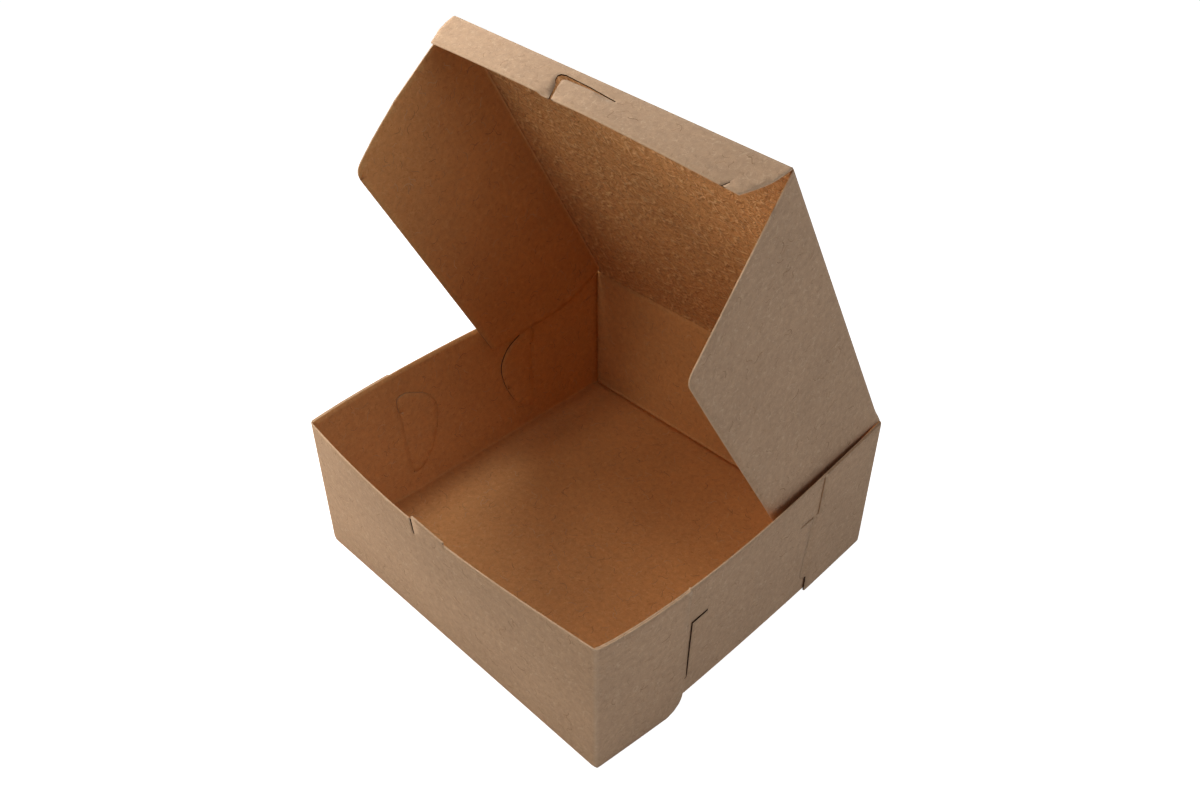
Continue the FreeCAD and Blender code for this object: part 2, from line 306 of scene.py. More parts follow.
class Card:
    """Flat card cut to an outline, with holes and creases, ready to be folded."""

    def __init__(self, outline, holes=(), creases=(), step=grid_step, deep=(), seam=()):
        loops = [spread(outline)] + [spread(hole, hole_step) for hole in holes]
        edges = []
        points = []
        for loop in loops:
            first = len(points)
            points += loop
            edges += [(first + i, first + (i + 1) % len(loop)) for i in range(len(loop))]
        rows = np.array(outline, float)
        low, high = rows.min(axis=0), rows.max(axis=0)
        cells = np.ceil((high - low) / step).astype(int) + 1
        grid_u, grid_v = np.meshgrid(
            np.linspace(low[0], high[0], cells[0]), np.linspace(low[1], high[1], cells[1])
        )
        grid = np.stack([grid_u.ravel(), grid_v.ravel()], axis=1)
        self.cuts = [segment for loop in [outline, *holes] for segment in loop_segments(loop)]
        keep = distance_to(grid, self.cuts) > step / 4
        if creases:
            keep &= distance_to(grid, creases) > crease_clear
        extra = [grid[keep]]
        for a, b in creases:
            extra.append(self.crease_rows(np.array(a, float), np.array(b, float)))
        extra = np.concatenate(extra)
        clear = distance_to(extra, self.cuts) > edge_clear
        extra = extra[self.on_card(extra, loops) & clear]
        points = points + [tuple(point) for point in extra]
        found = delaunay_2d_cdt([Vector(p) for p in points], edges, [], 0, 1e-5)
        self.flat = np.array([tuple(v) for v in found[0]])
        faces = np.array([f for f in found[2] if len(f) == 3])
        centres = self.flat[faces].mean(axis=1)
        self.faces = faces[self.on_card(centres, loops)]
        used = np.unique(self.faces)
        renumber = np.full(len(self.flat), -1)
        renumber[used] = np.arange(len(used))
        self.flat, self.faces = self.flat[used], renumber[self.faces]
        self.inset = np.minimum(distance_to(self.flat, self.cuts), far_away)
        self.fold = np.full(len(self.flat), far_away)
        if creases:
            self.fold = np.minimum(distance_to(self.flat, creases), far_away)
        # deep: how much painted shade a cut edge gets, standing for the shadow in a narrow gap
        self.deep = np.zeros(len(self.flat))
        for a, b, weight in deep:
            near = distance_to(self.flat, [(a, b)]) < on_edge
            self.deep[near] = np.maximum(self.deep[near], weight)
        # seam: where two boards are one sheet; their cut edges get painted shade
        self.seam = np.zeros(len(self.flat))
        if seam:
            self.seam = np.where(distance_to(self.flat, seam) < on_edge, 1.0, 0.0)

    @staticmethod
    def crease_rows(a, b):
        """Rows of points along a crease, close enough together for its curve."""
        count = max(2, math.ceil(np.linalg.norm(b - a) / 2.0) + 1)
        across = np.array([a[1] - b[1], b[0] - a[0]]) / np.linalg.norm(b - a)
        along = a + (b - a) * np.linspace(0, 1, count)[:, None]
        rows = [along + across * shift for shift in crease_rows_at]
        return np.concatenate(rows)

    @staticmethod
    def on_card(points, loops):
        """Which points lie on the card and not in a hole."""
        result = inside(points, loops[0])
        for hole in loops[1:]:
            result &= ~inside(points, hole)
        return result

    def place(self, placing, flip=False, shift=(0, 0)):
        """Folds the card and sets it in its place, in metres."""
        self.solid = np.stack(placing(self.flat[:, 0], self.flat[:, 1]), axis=1) * MM
        if flip:
            self.faces = self.faces[:, ::-1]
        self.pattern = (self.flat + np.array(shift)) / 100
        return self


def card_mesh(name, cards):
    """One mesh from the placed cards, with its flat pattern as a UV map."""
    points = np.concatenate([item.solid for item in cards])
    offsets = np.cumsum([0] + [len(item.solid) for item in cards[:-1]])
    faces = np.concatenate([item.faces + start for item, start in zip(cards, offsets)])
    mesh = bpy.data.meshes.new(name)
    mesh.from_pydata(points.tolist(), [], faces.tolist())
    pattern = np.concatenate([item.pattern for item in cards])
    layer = mesh.uv_layers.new(name="sheet")
    layer.data.foreach_set("uv", pattern[faces.ravel()].astype(np.float32).ravel())
    for key in ("inset", "fold", "deep", "seam"):
        values = np.concatenate([getattr(item, key) for item in cards])
        attribute = mesh.attributes.new(key, "FLOAT", "POINT")
        attribute.data.foreach_set("value", values.astype(np.float32))
    piece = bpy.data.objects.new(name, mesh)
    bpy.context.scene.collection.objects.link(piece)
    return piece


# Node trees

def add(tree, kind, **settings):
    """A node with its properties set by name and its sockets by name or number."""
    node = tree.nodes.new(kind)
    for key, value in settings.items():
        if key != "inputs":
            setattr(node, key, value)
    for key, value in settings.get("inputs", {}).items():
        socket = node.inputs[key]
        if isinstance(value, bpy.types.NodeSocket):
            tree.links.new(value, socket)
        else:
            socket.default_value = value
    return node


def math_node(tree, operation, a, b=0.0, clamp=False):
    """Output of one calculation."""
    node = add(tree, "ShaderNodeMath", operation=operation, use_clamp=clamp,
               inputs={0: a, 1: b})
    return node.outputs[0]


def new_tree(name, sockets):
    """Empty geometry tree with named inputs, and its two end nodes."""
    tree = bpy.data.node_groups.new(name, "GeometryNodeTree")
    tree.interface.new_socket("Geometry", in_out="INPUT", socket_type="NodeSocketGeometry")
    for label, kind in sockets:
        tree.interface.new_socket(label, in_out="INPUT", socket_type=kind)
    tree.interface.new_socket("Geometry", in_out="OUTPUT", socket_type="NodeSocketGeometry")
    return tree, tree.nodes.new("NodeGroupInput"), tree.nodes.new("NodeGroupOutput")


def board_tree():
    """Gives a folded sheet the board's thickness, with its two faces and its cut edge."""
    tree, given, result = new_tree("board", [
        ("Thickness", "NodeSocketFloat"),
        ("Outside", "NodeSocketMaterial"),
        ("Inside", "NodeSocketMaterial"),
        ("Cut edge", "NodeSocketMaterial"),
    ])
    normal = add(tree, "GeometryNodeInputNormal").outputs[0]
    back = math_node(tree, "MULTIPLY", given.outputs["Thickness"], -0.5)
    offset = add(tree, "ShaderNodeVectorMath", operation="SCALE",
                 inputs={0: normal, "Scale": back}).outputs[0]
    inner = add(tree, "GeometryNodeSetPosition",
                inputs={"Geometry": given.outputs[0], "Offset": offset}).outputs[0]
    raised = add(tree, "GeometryNodeExtrudeMesh", mode="FACES",
                 inputs={"Mesh": inner, "Offset Scale": given.outputs["Thickness"],
                         "Individual": False})
    turned = add(tree, "GeometryNodeFlipFaces", inputs={"Mesh": inner}).outputs[0]
    marked = add(tree, "GeometryNodeStoreNamedAttribute", data_type="BOOLEAN",
                 domain="FACE",
                 inputs={"Geometry": turned, "Name": "inner_face", "Value": True}).outputs[0]
    both = add(tree, "GeometryNodeJoinGeometry")
    tree.links.new(raised.outputs["Mesh"], both.inputs[0])
    tree.links.new(marked, both.inputs[0])
    welded = add(tree, "GeometryNodeMergeByDistance",
                 inputs={"Geometry": both.outputs[0], "Distance": 1e-7}).outputs[0]
    side = raised.outputs["Side"]
    faces = add(tree, "FunctionNodeBooleanMath", operation="NOT", inputs={0: side}).outputs[0]
    shaded = welded
    for chosen, soft in ((faces, True), (side, False)):
        shaded = add(tree, "GeometryNodeSetShadeSmooth", domain="FACE",
                     inputs={"Geometry": shaded, "Selection": chosen,
                             "Shade Smooth": soft}).outputs[0]
    made = add(tree, "GeometryNodeRealizeInstances", inputs={"Geometry": shaded}).outputs[0]
    inner_face = add(tree, "GeometryNodeInputNamedAttribute", data_type="BOOLEAN",
                     inputs={"Name": "inner_face"}).outputs[0]
    for label, chosen in (("Outside", None), ("Inside", inner_face), ("Cut edge", side)):
        node = add(tree, "GeometryNodeSetMaterial",
                   inputs={"Geometry": made, "Material": given.outputs[label]})
        if chosen is not None:
            tree.links.new(chosen, node.inputs["Selection"])
        made = node.outputs[0]
    tree.links.new(made, result.inputs[0])
    return tree


def fibre_tree():
    """Scatters short curled fibres over a board's faces, away from folds and edges."""
    tree, given, result = new_tree("fibres", [
        ("Density", "NodeSocketFloat"),
        ("Length", "NodeSocketFloat"),
        ("Radius", "NodeSocketFloat"),
        ("Seed", "NodeSocketInt"),
        ("Material", "NodeSocketMaterial"),
    ])
    clear = None
    for key in ("inset", "fold"):
        value = add(tree, "GeometryNodeInputNamedAttribute", data_type="FLOAT",
                    inputs={"Name": key}).outputs[0]
        far = add(tree, "FunctionNodeCompare", operation="GREATER_THAN",
                  inputs={"A": value, "B": fibre_clearance}).outputs[0]
        clear = far if clear is None else add(
            tree, "FunctionNodeBooleanMath", operation="AND",
            inputs={0: clear, 1: far}).outputs[0]
    spots = add(tree, "GeometryNodeDistributePointsOnFaces",
                inputs={"Mesh": given.outputs[0], "Selection": clear,
                        "Density": given.outputs["Density"], "Seed": given.outputs["Seed"]})
    kinds = add(tree, "GeometryNodeJoinGeometry")
    ring = add(tree, "GeometryNodeCurvePrimitiveCircle",
               inputs={"Resolution": 3, "Radius": given.outputs["Radius"]}).outputs[0]
    for first, second in fibre_curls:
        line = add(tree, "GeometryNodeCurvePrimitiveBezierSegment",
                   inputs={"Resolution": 6, "Start": (-0.5, 0, 0), "Start Handle": first,
                           "End Handle": second, "End": (0.5, 0, 0)}).outputs[0]
        sized = add(tree, "ShaderNodeCombineXYZ",
                    inputs={axis: given.outputs["Length"] for axis in range(3)}).outputs[0]
        line = add(tree, "GeometryNodeTransform",
                   inputs={"Geometry": line, "Scale": sized}).outputs[0]
        strand = add(tree, "GeometryNodeCurveToMesh",
                     inputs={"Curve": line, "Profile Curve": ring}).outputs[0]
        one = add(tree, "GeometryNodeGeometryToInstance",
                  inputs={"Geometry": strand}).outputs[0]
        tree.links.new(one, kinds.inputs[0])
    turn = add(tree, "FunctionNodeRandomValue", data_type="FLOAT",
               inputs={2: 0.0, 3: 2 * math.pi, "Seed": 1}).outputs[1]
    spin = add(tree, "ShaderNodeCombineXYZ", inputs={2: turn}).outputs[0]
    spin = add(tree, "FunctionNodeEulerToRotation", inputs={0: spin}).outputs[0]
    facing = add(tree, "FunctionNodeRotateRotation", rotation_space="LOCAL",
                 inputs={0: spots.outputs["Rotation"], 1: spin}).outputs[0]
    size = add(tree, "FunctionNodeRandomValue", data_type="FLOAT",
               inputs={2: 0.45, 3: 1.0, "Seed": 2}).outputs[1]
    scale = add(tree, "ShaderNodeCombineXYZ",
                inputs={0: size, 1: size, 2: fibre_flatness}).outputs[0]
    chosen = add(tree, "FunctionNodeRandomValue", data_type="INT",
                 inputs={4: 0, 5: len(fibre_curls) - 1, "Seed": 3}).outputs[2]
    laid = add(tree, "GeometryNodeInstanceOnPoints",
               inputs={"Points": spots.outputs["Points"], "Instance": kinds.outputs[0],
                       "Pick Instance": True, "Instance Index": chosen,
                       "Rotation": facing, "Scale": scale}).outputs[0]
    tone = add(tree, "FunctionNodeRandomValue", data_type="FLOAT",
               inputs={2: 0.0, 3: 1.0, "Seed": 4}).outputs[1]
    toned = add(tree, "GeometryNodeStoreNamedAttribute", data_type="FLOAT",
                domain="INSTANCE",
                inputs={"Geometry": laid, "Name": "tone", "Value": tone}).outputs[0]
    made = add(tree, "GeometryNodeRealizeInstances", inputs={"Geometry": toned}).outputs[0]
    made = add(tree, "GeometryNodeSetMaterial",
               inputs={"Geometry": made, "Material": given.outputs["Material"]}).outputs[0]
    tree.links.new(made, result.inputs[0])
    return tree


def run_tree(piece, tree, values, name=None):
    """Runs a node tree on a piece and keeps the result as a plain mesh."""
    modifier = piece.modifiers.new(tree.name, "NODES")
    modifier.node_group = tree
    for item in tree.interface.items_tree:
        if item.in_out == "INPUT" and item.name in values:
            modifier[item.identifier] = values[item.name]
    evaluated = piece.evaluated_get(bpy.context.evaluated_depsgraph_get())
    mesh = bpy.data.meshes.new_from_object(evaluated)
    piece.modifiers.remove(modifier)
    if name is None:
        piece.data = mesh
        mesh.name = piece.name
        return piece
    mesh.name = name
    other = bpy.data.objects.new(name, mesh)
    bpy.context.scene.collection.objects.link(other)
    return other


# Finishes

def noise(tree, place, scale, detail=2.0, rough=0.5, twist=0.0):
    """Value of a cloudy noise, about 0.5 in the middle."""
    node = add(tree, "ShaderNodeTexNoise", noise_dimensions="3D",
               inputs={"Vector": place, "Scale": scale, "Detail": detail,
                       "Roughness": rough, "Distortion": twist})
    return node.outputs[0]


def moved(tree, place, shift):
    """The same coordinates, shifted."""
    return add(tree, "ShaderNodeMapping",
               inputs={"Vector": place, "Location": shift}).outputs[0]


def strands(tree, place, shift, scale, width, share):
    """Thin curled lines, broken into short lengths, between 0 and 1."""
    here = moved(tree, place, shift)
    field = noise(tree, here, scale, 1.0, 0.4, 0.5)
    away = math_node(tree, "ABSOLUTE", math_node(tree, "SUBTRACT", field, 0.5))
    line = add(tree, "ShaderNodeMapRange", interpolation_type="SMOOTHSTEP",
               inputs={"Value": away, "From Min": 0.0, "From Max": width,
                       "To Min": 1.0, "To Max": 0.0}).outputs[0]
    gaps = noise(tree, moved(tree, here, (3.1, 1.7, 5.3)), scale * 1.1, 1.0)
    part = add(tree, "ShaderNodeMapRange", interpolation_type="SMOOTHSTEP",
               inputs={"Value": gaps, "From Min": share, "From Max": share + 0.06}).outputs[0]
    return math_node(tree, "MULTIPLY", line, part)


def tinted(tree, colour, tint, amount):
    """Mixes a tint into a colour by an amount."""
    node = add(tree, "ShaderNodeMix", data_type="RGBA",
               inputs={0: amount, 6: colour, 7: (*tint, 1.0)})
    return node.outputs[2]


def shaded_by(tree, colour, value, low, high):
    """Multiplies a colour by a factor that runs from low to high with the value."""
    factor = add(tree, "ShaderNodeMapRange",
                 inputs={"Value": value, "From Min": 0.3, "From Max": 0.7,
                         "To Min": low, "To Max": high}).outputs[0]
    return add(tree, "ShaderNodeVectorMath", operation="SCALE",
               inputs={0: colour, "Scale": factor}).outputs[0]


def attribute(tree, name):
    """Value stored on the card's points."""
    return add(tree, "ShaderNodeAttribute", attribute_type="GEOMETRY",
               attribute_name=name).outputs["Fac"]


def kraft_face(name, tones, contrast, relief_and_painted_emboss, wear):
    """Uncoated kraft card: cloudy tone, curled light and dark fibres, worn folds, and a relief
    with painted highlights on its ridges and painted shade beside them.
    """
    base, light, dark = tones
    material = bpy.data.materials.new(name)
    material.use_nodes = True
    tree = material.node_tree
    shader = tree.nodes["Principled BSDF"]
    place = add(tree, "ShaderNodeUVMap", uv_map="sheet").outputs[0]
    colour = add(tree, "ShaderNodeRGB").outputs[0]
    colour.default_value = (*base, 1.0)
    colour = shaded_by(tree, colour, noise(tree, place, 3.5, 3.0), 0.95, 1.05)
    colour = shaded_by(tree, colour, noise(tree, place, 42.0, 5.0, 0.65),
                       1 - 0.16 * contrast, 1 + 0.14 * contrast)
    colour = shaded_by(tree, colour, noise(tree, place, 420.0, 2.0), 0.94, 1.06)
    pale = strands(tree, place, (0, 0, 0), 34.0, 0.030, 0.50)
    pale_fine = strands(tree, place, (7, 2, 1), 62.0, 0.035, 0.52)
    deep = strands(tree, place, (3, 9, 4), 40.0, 0.028, 0.52)
    deep_fine = strands(tree, place, (5, 4, 8), 70.0, 0.035, 0.54)
    for amount, tint, share in (
        (pale, light, 0.42), (pale_fine, light, 0.34), (deep, dark, 0.48),
        (deep_fine, dark, 0.36),
    ):
        colour = tinted(tree, colour, tint,
                        math_node(tree, "MULTIPLY", amount, share * contrast))
    flecks = noise(tree, moved(tree, place, (2, 6, 3)), 150.0, 1.0)
    flecks = math_node(tree, "MULTIPLY", math_node(tree, "SUBTRACT", flecks, 0.72), 9.0, True)
    colour = tinted(tree, colour, dark, math_node(tree, "MULTIPLY", flecks, 0.55))
    curls = noise(tree, place, 27.0, 2.0, 0.5, 1.6)
    curls = math_node(tree, "ABSOLUTE", math_node(tree, "SUBTRACT", curls, 0.5))
    # Painted highlight on the relief's ridges, and painted shade in a copy shifted to one side
    for tint, shift, share in ((light, (0, 0, 0), 1.0), (dark, (0.010, 0.008, 0), 0.5)):
        painted_emboss = strands(tree, place, shift, 21.0, 0.055, 0.43)
        colour = tinted(tree, colour, tint, math_node(tree, "MULTIPLY", painted_emboss, share * relief_and_painted_emboss))
    fold = math_node(tree, "SUBTRACT", 1.0, math_node(
        tree, "MULTIPLY", attribute(tree, "fold"), 0.7, True))
    scuff = math_node(tree, "MULTIPLY", fold, noise(tree, place, 55.0, 4.0, 0.7))
    colour = tinted(tree, colour, light, math_node(tree, "MULTIPLY", scuff, 0.55 * wear, True))
    edge = math_node(tree, "SUBTRACT", 1.0, math_node(
        tree, "MULTIPLY", attribute(tree, "inset"), 1.1, True))
    fray = math_node(tree, "MULTIPLY", edge, noise(tree, place, 80.0, 4.0, 0.7))
    # No pale fray where an edge carries painted shade or is a seam
    for kept in ("deep", "seam"):
        fray = math_node(tree, "MULTIPLY", fray, math_node(
            tree, "SUBTRACT", 1.0, attribute(tree, kept)))
    colour = tinted(tree, colour, light, math_node(tree, "MULTIPLY", fray, 0.6 * wear, True))
    tree.links.new(colour, shader.inputs["Base Color"])
    shader.inputs["Specular IOR Level"].default_value = 0.22
    rough = add(tree, "ShaderNodeMapRange",
                inputs={"Value": noise(tree, place, 90.0, 3.0), "To Min": 0.74,
                        "To Max": 0.94}).outputs[0]
    tree.links.new(rough, shader.inputs["Roughness"])
    height = math_node(tree, "ADD", pale, math_node(tree, "MULTIPLY", pale_fine, 0.7))
    height = math_node(tree, "SUBTRACT", height, math_node(tree, "MULTIPLY", deep, 0.6))
    grain = math_node(tree, "MULTIPLY", noise(tree, place, 260.0, 5.0, 0.7), 1.6)
    height = math_node(tree, "ADD", height, grain)
    bump = add(tree, "ShaderNodeBump",
               inputs={"Height": height, "Strength": 0.5 * contrast,
                       "Distance": 0.00008}).outputs[0]
    bump = add(tree, "ShaderNodeBump",
               inputs={"Height": curls, "Strength": relief_and_painted_emboss, "Distance": 0.0028,
                       "Normal": bump}).outputs[0]
    tree.links.new(bump, shader.inputs["Normal"])
    return material


def cut_edge():
    """The board's cut edge: paler, with the layers of pulp showing; painted shade darkens the
    edges of narrow gaps and of seams.
    """
    material = bpy.data.materials.new("kraft_cut_edge")
    material.use_nodes = True
    tree = material.node_tree
    shader = tree.nodes["Principled BSDF"]
    place = add(tree, "ShaderNodeTexCoord").outputs["Object"]
    colour = add(tree, "ShaderNodeRGB").outputs[0]
    colour.default_value = (*edge_tone, 1.0)
    colour = shaded_by(tree, colour, noise(tree, place, 900.0, 4.0, 0.7), 0.82, 1.14)
    colour = shaded_by(tree, colour, noise(tree, place, 120.0, 2.0), 0.92, 1.06)
    # Painted shade on seam edges, so the join catches no light
    colour = tinted(tree, colour, shaded_seam_tone, attribute(tree, "seam"))
    # Painted shade on cut edges that stand for the shadow in a narrow gap
    colour = tinted(tree, colour, painted_gap_shade, attribute(tree, "deep"))
    tree.links.new(colour, shader.inputs["Base Color"])
    shader.inputs["Roughness"].default_value = 0.95
    shader.inputs["Specular IOR Level"].default_value = 0.15
    bump = add(tree, "ShaderNodeBump",
               inputs={"Height": noise(tree, place, 2500.0, 3.0), "Strength": 0.5,
                       "Distance": 0.0001}).outputs[0]
    tree.links.new(bump, shader.inputs["Normal"])
    return material


def fibre_finish():
    """Loose kraft fibres, from dark brown to pale straw."""
    material = bpy.data.materials.new("kraft_fibre")
    material.use_nodes = True
    tree = material.node_tree
    shader = tree.nodes["Principled BSDF"]
    ramp = add(tree, "ShaderNodeValToRGB", inputs={0: attribute(tree, "tone")})
    ramp.color_ramp.elements[0].color = (*fibre_dark, 1)
    ramp.color_ramp.elements[1].color = (*fibre_straw, 1)
    middle = ramp.color_ramp.elements.new(0.45)
    middle.color = (*fibre_brown, 1)
    place = add(tree, "ShaderNodeTexCoord").outputs["Object"]
    colour = shaded_by(tree, ramp.outputs[0], noise(tree, place, 700.0, 2.0), 0.88, 1.1)
    tree.links.new(colour, shader.inputs["Base Color"])
    shader.inputs["Roughness"].default_value = 0.9
    shader.inputs["Specular IOR Level"].default_value = 0.2
    return material


# Placing functions: from flat card to folded box

def side_bulge(sign, y, height):
    """Bulge of a side wall; sign is -1 on the left and 1 on the right."""
    along = (y + half) / (2 * half)
    share = height / wall_height
    right = bulge(right_bulge, along) * share + bulge(right_foot_bulge, along) * (1 - share)
    left = bulge(left_bulge, along) * share
    return np.where(sign > 0, right, left)


def slit_at(height):
    """How far the slit is from the tray's corner at this height."""
    slope = (slit_high[0] - slit_low[0]) / (slit_high[1] - slit_low[1])
    return slit_low[0] + (height - slit_low[1]) * slope


def walled(u, v, facing, shape):
    """Front wall with its tabs, or with facing -1 the back wall with its own."""
    sign = np.sign(u)
    first, from_corner = folded(np.abs(u) - wall_middle)
    under, up = folded(v - floor_middle)
    on_wall = from_corner < 0.3
    height = np.where(on_wall, floor_middle + up, v)
    inward = np.where(on_wall, -under, 0)
    share = height / wall_height
    x = sign * (wall_middle + first)
    along = (x + half) / (2 * half)
    out = np.zeros_like(x) if shape is None else bulge(shape, along) * share
    y = -wall_middle - out * smooth(0, 2.0, wall_middle - np.abs(x)) + inward + from_corner
    rim = side_bulge(facing * sign, facing * y, height)
    low = np.clip(1 - height / splay_height, 0, 1) ** splay_power
    held = smooth(*held_along, from_corner) * smooth(*held_up, v)
    spring = front_tab_splay if facing > 0 else rear_tab_splay
    splay = spring * (from_corner / tab_foot) * low * (1 - held)
    centre = slit_at(np.minimum(v, neck_high)) - barb_slope * np.maximum(v - neck_high, 0)
    centre = centre - slit_half_width
    through = smooth(-neck_dip, neck_dip, from_corner - centre)
    through = np.where(from_corner < barb_tip - 0.2, 0, through)
    depth = 2 * (card + layer_gap)
    away = rim + splay - depth * through
    x = x + sign * np.where(from_corner > 0, away, 0)
    return facing * x, facing * y, height


def front_place(u, v):
    """Front wall and its tabs."""
    return walled(u, v, 1, front_bulge)


def back_place(u, v):
    """Back wall and its tabs."""
    return walled(u, v, -1, None)


def base_place(u, v):
    """Floor with both side walls; u runs from the right wall to the left one."""
    sign = -np.sign(u)
    first, second = folded(np.abs(u) - side_middle)
    height = floor_middle + second
    out = side_bulge(sign, v, height) * smooth(side_middle - floor_stretch, side_middle, np.abs(u))
    x = sign * (side_middle + first + out)
    return x, v + 0 * u, height


def lid_frame(x):
    """Directions along the lid and down from its underside at this x."""
    across = np.clip((x + half) / (2 * half), 0, 1)
    twist = lid_twist_left + (lid_twist_right - lid_twist_left) * across
    angle = np.radians(lid_angle + twist)
    zero = np.zeros_like(angle)
    along = np.stack([zero, -np.cos(angle), np.sin(angle)])
    down = np.stack([zero, -np.sin(angle), -np.cos(angle)])
    return along, down


def on_lid(x, along_lid, drop):
    """Point on the lid: distance from the hinge, and drop below its middle layer."""
    along, down = lid_frame(x)
    depth = drop - card / 2
    y = hinge_y + along[1] * along_lid + down[1] * depth
    z = hinge_z + along[2] * along_lid + down[2] * depth
    return x, y, z


def lid_place(u, v):
    """Lid panel; v is the distance from the hinge, below 0 on the back wall's top."""
    x = -u * (1 + lid_flare(v) / flap_middle)
    along, down = lid_frame(x)
    meet = (hinge_y - down[1] * card / 2 - wall_middle) / -along[1]
    corner_z = hinge_z - down[2] * card / 2 + along[2] * meet
    first, second = folded(v - meet, hinge_reach)
    y = wall_middle + along[1] * second
    z = corner_z + first + along[2] * second
    return x, y, z


def lid_flare(from_hinge):
    """How much further out the side folds lie close to the hinge."""
    return hinge_flare * (1 - smooth(0, hinge_flare_length, from_hinge))


def flap_place(sign, lean):
    """Side flap; v is the distance from the hinge and u the depth from the fold."""
    def place(u, v):
        first, second = folded(u)
        tilt = math.radians(lean)
        edge = np.full_like(u, sign * flap_middle)
        curl = flap_curl[sign > 0] * smooth(0, flap_depth, second)
        curl = curl * (1 - smooth(*flap_curl_fade, v))
        flare = lid_flare(v) * (1 - smooth(0, hinge_flare_length, second))
        x = sign * (flap_middle + first + second * math.sin(tilt) + curl + flare)
        drop = second * math.cos(tilt)
        _, y, z = on_lid(edge, v, drop)
        return x, y, z
    return place


def front_flap_place(u, v):
    """Front flap; u is minus x and v the depth from the front fold."""
    x = -u
    first, second = folded(v)
    left, right, middle = front_flap_lean
    share = (x + half) / (2 * half)
    tilt = np.radians(left + (right - left) * share + 4 * middle * share * (1 - share))
    on_lug = (x > lug_left - half) & (x < lug_right - half) & (v > slot_path[3][1] + 0.4)
    lug = np.clip(1 - (x + half - lug_left) / (lug_right - lug_left), 0, 1) ** 1.5
    push = np.where(on_lug, lug_push * lug, 0)
    forward = lid_length - card / 2 + first + second * np.sin(tilt) - push
    return on_lid(x, forward, second * np.cos(tilt))


# Outlines, in flat millimetres

def tab_outline(foot):
    """Tab, neck and hook: distance from the corner and height, from foot to rim."""
    barb = [
        (41.4, neck_high + 0.2), (barb_tip + 0.3, barb_low - 0.7), (barb_tip, barb_low + 0.6),
        (barb_tip, barb_high - 2.0), (barb_tip + 0.6, barb_high - 0.6),
        (barb_tip + 2.0, barb_high),
    ]
    hook = curve_through(hook_curve)
    return (
        [(0.8, 0.05)] + foot + [(42.6, neck_low)]
        + hook[::-1] + barb[::-1]
        + [(41.2, neck_high - 0.1), (tab_rim - 0.2, barb_low - 1.0)]
        + [(tab_rim, wall_height), (0.8, wall_height)]
    )


def wall_card(foot, top, hook_shade, deep=()):
    """One wall with a tab at each end; top is the outline of its upper edge."""
    right = [(wall_middle + t, z) for t, z in tab_outline(foot)]
    left = [(-x, z) for x, z in right[::-1]]
    lip = floor_middle - floor_lip - 0.2
    under = [(-wall_middle + 1.6, lip), (wall_middle - 1.6, lip), (wall_middle - 1.2, 0.1)]
    outline = [(-wall_middle + 1.2, 0.1)] + under + right + top + left
    crease_end = wall_middle - 1.4
    creases = [
        ((-wall_middle, 0.1), (-wall_middle, wall_height - 0.1)),
        ((wall_middle, 0.1), (wall_middle, wall_height - 0.1)),
        ((-crease_end, floor_middle), (crease_end, floor_middle)),
    ]
    # Painted shade on the hook's cut edges and the tab's lower free edge, for the shadow gap
    # beside them
    hook = [point for point in right if 0.1 < point[1] < barb_high + 0.5]
    hook = [point for point in hook if point[0] > wall_middle + tab_rim - 0.1 or point[1] < 9.3]
    gap_shade_lines = [(a, b, hook_shade) for a, b in loop_segments(hook)[:-1]]
    gap_shade_lines += [((-a[0], a[1]), (-b[0], b[1]), tone) for a, b, tone in gap_shade_lines]
    seam = [(under[0], under[1])]
    return Card(outline, (), creases, deep=[*gap_shade_lines, *deep], seam=seam)


def front_card():
    """Front wall, with the lock tongue in its upper edge."""
    left = tongue_left - half
    right = tongue_right - half
    slit_foot = wall_height - tongue_slit_depth
    top = [
        (right + 0.2, wall_height), (right, wall_height + 0.3),
        (right, wall_height + tongue_rise_right),
        (left + 0.8, wall_height + tongue_rise_left),
        (left + 0.1, wall_height + tongue_rise_left - 0.6),
        (left, slit_foot), (left - tongue_slit_width, slit_foot),
        (left - tongue_slit_width, wall_height),
    ]
    # Painted shade on the tongue slit's edges, for the dark gap of the slit
    tongue_slit_shade = [(a, b, 1.0) for a, b in loop_segments(top[4:])[:-1]]
    made = wall_card(front_tab_foot, top, front_hook_shade, tongue_slit_shade)
    return made.place(front_place, shift=(310, 20))


def back_card():
    """Back wall; the lid's own board goes on from its upper edge."""
    made = wall_card(rear_tab_foot, [], rear_hook_shade)
    return made.place(back_place, shift=(310, 120))


def base_card():
    """Floor and side walls, with a slit for each of the four necks."""
    floor_end = wall_middle - floor_lip - 0.2
    wall_end = half - card - corner_fit
    top = side_middle + wall_height - floor_middle
    low = side_middle - 0.9
    high = side_middle - 0.4
    quarter = [(low, floor_end), (high, wall_end), (top, wall_end)]
    outline = (
        quarter
        + [(u, -v) for u, v in quarter[::-1]]
        + [(-u, -v) for u, v in quarter]
        + [(-u, v) for u, v in quarter[::-1]]
    )
    holes = []
    for side in (-1, 1):
        for end in (-1, 1):
            holes.append([
                (side * (side_middle - floor_middle + z), end * (half - t))
                for t, z in slit_outline(end)
            ])
    creases = [
        ((side_middle, -wall_end + 1), (side_middle, wall_end - 1)),
        ((-side_middle, -wall_end + 1), (-side_middle, wall_end - 1)),
    ]
    # Painted shade on the front slits' cut edges, for the dark gap of each slit
    gap_shade_lines = [(a, b, 1.0) for hole in holes if hole[0][1] < 0 for a, b in loop_segments(hole)]
    seam = [((-low, end), (low, end)) for end in (-floor_end, floor_end)]
    made = Card(outline, holes, creases, deep=gap_shade_lines, seam=seam)
    return made.place(base_place, shift=(150, 300))


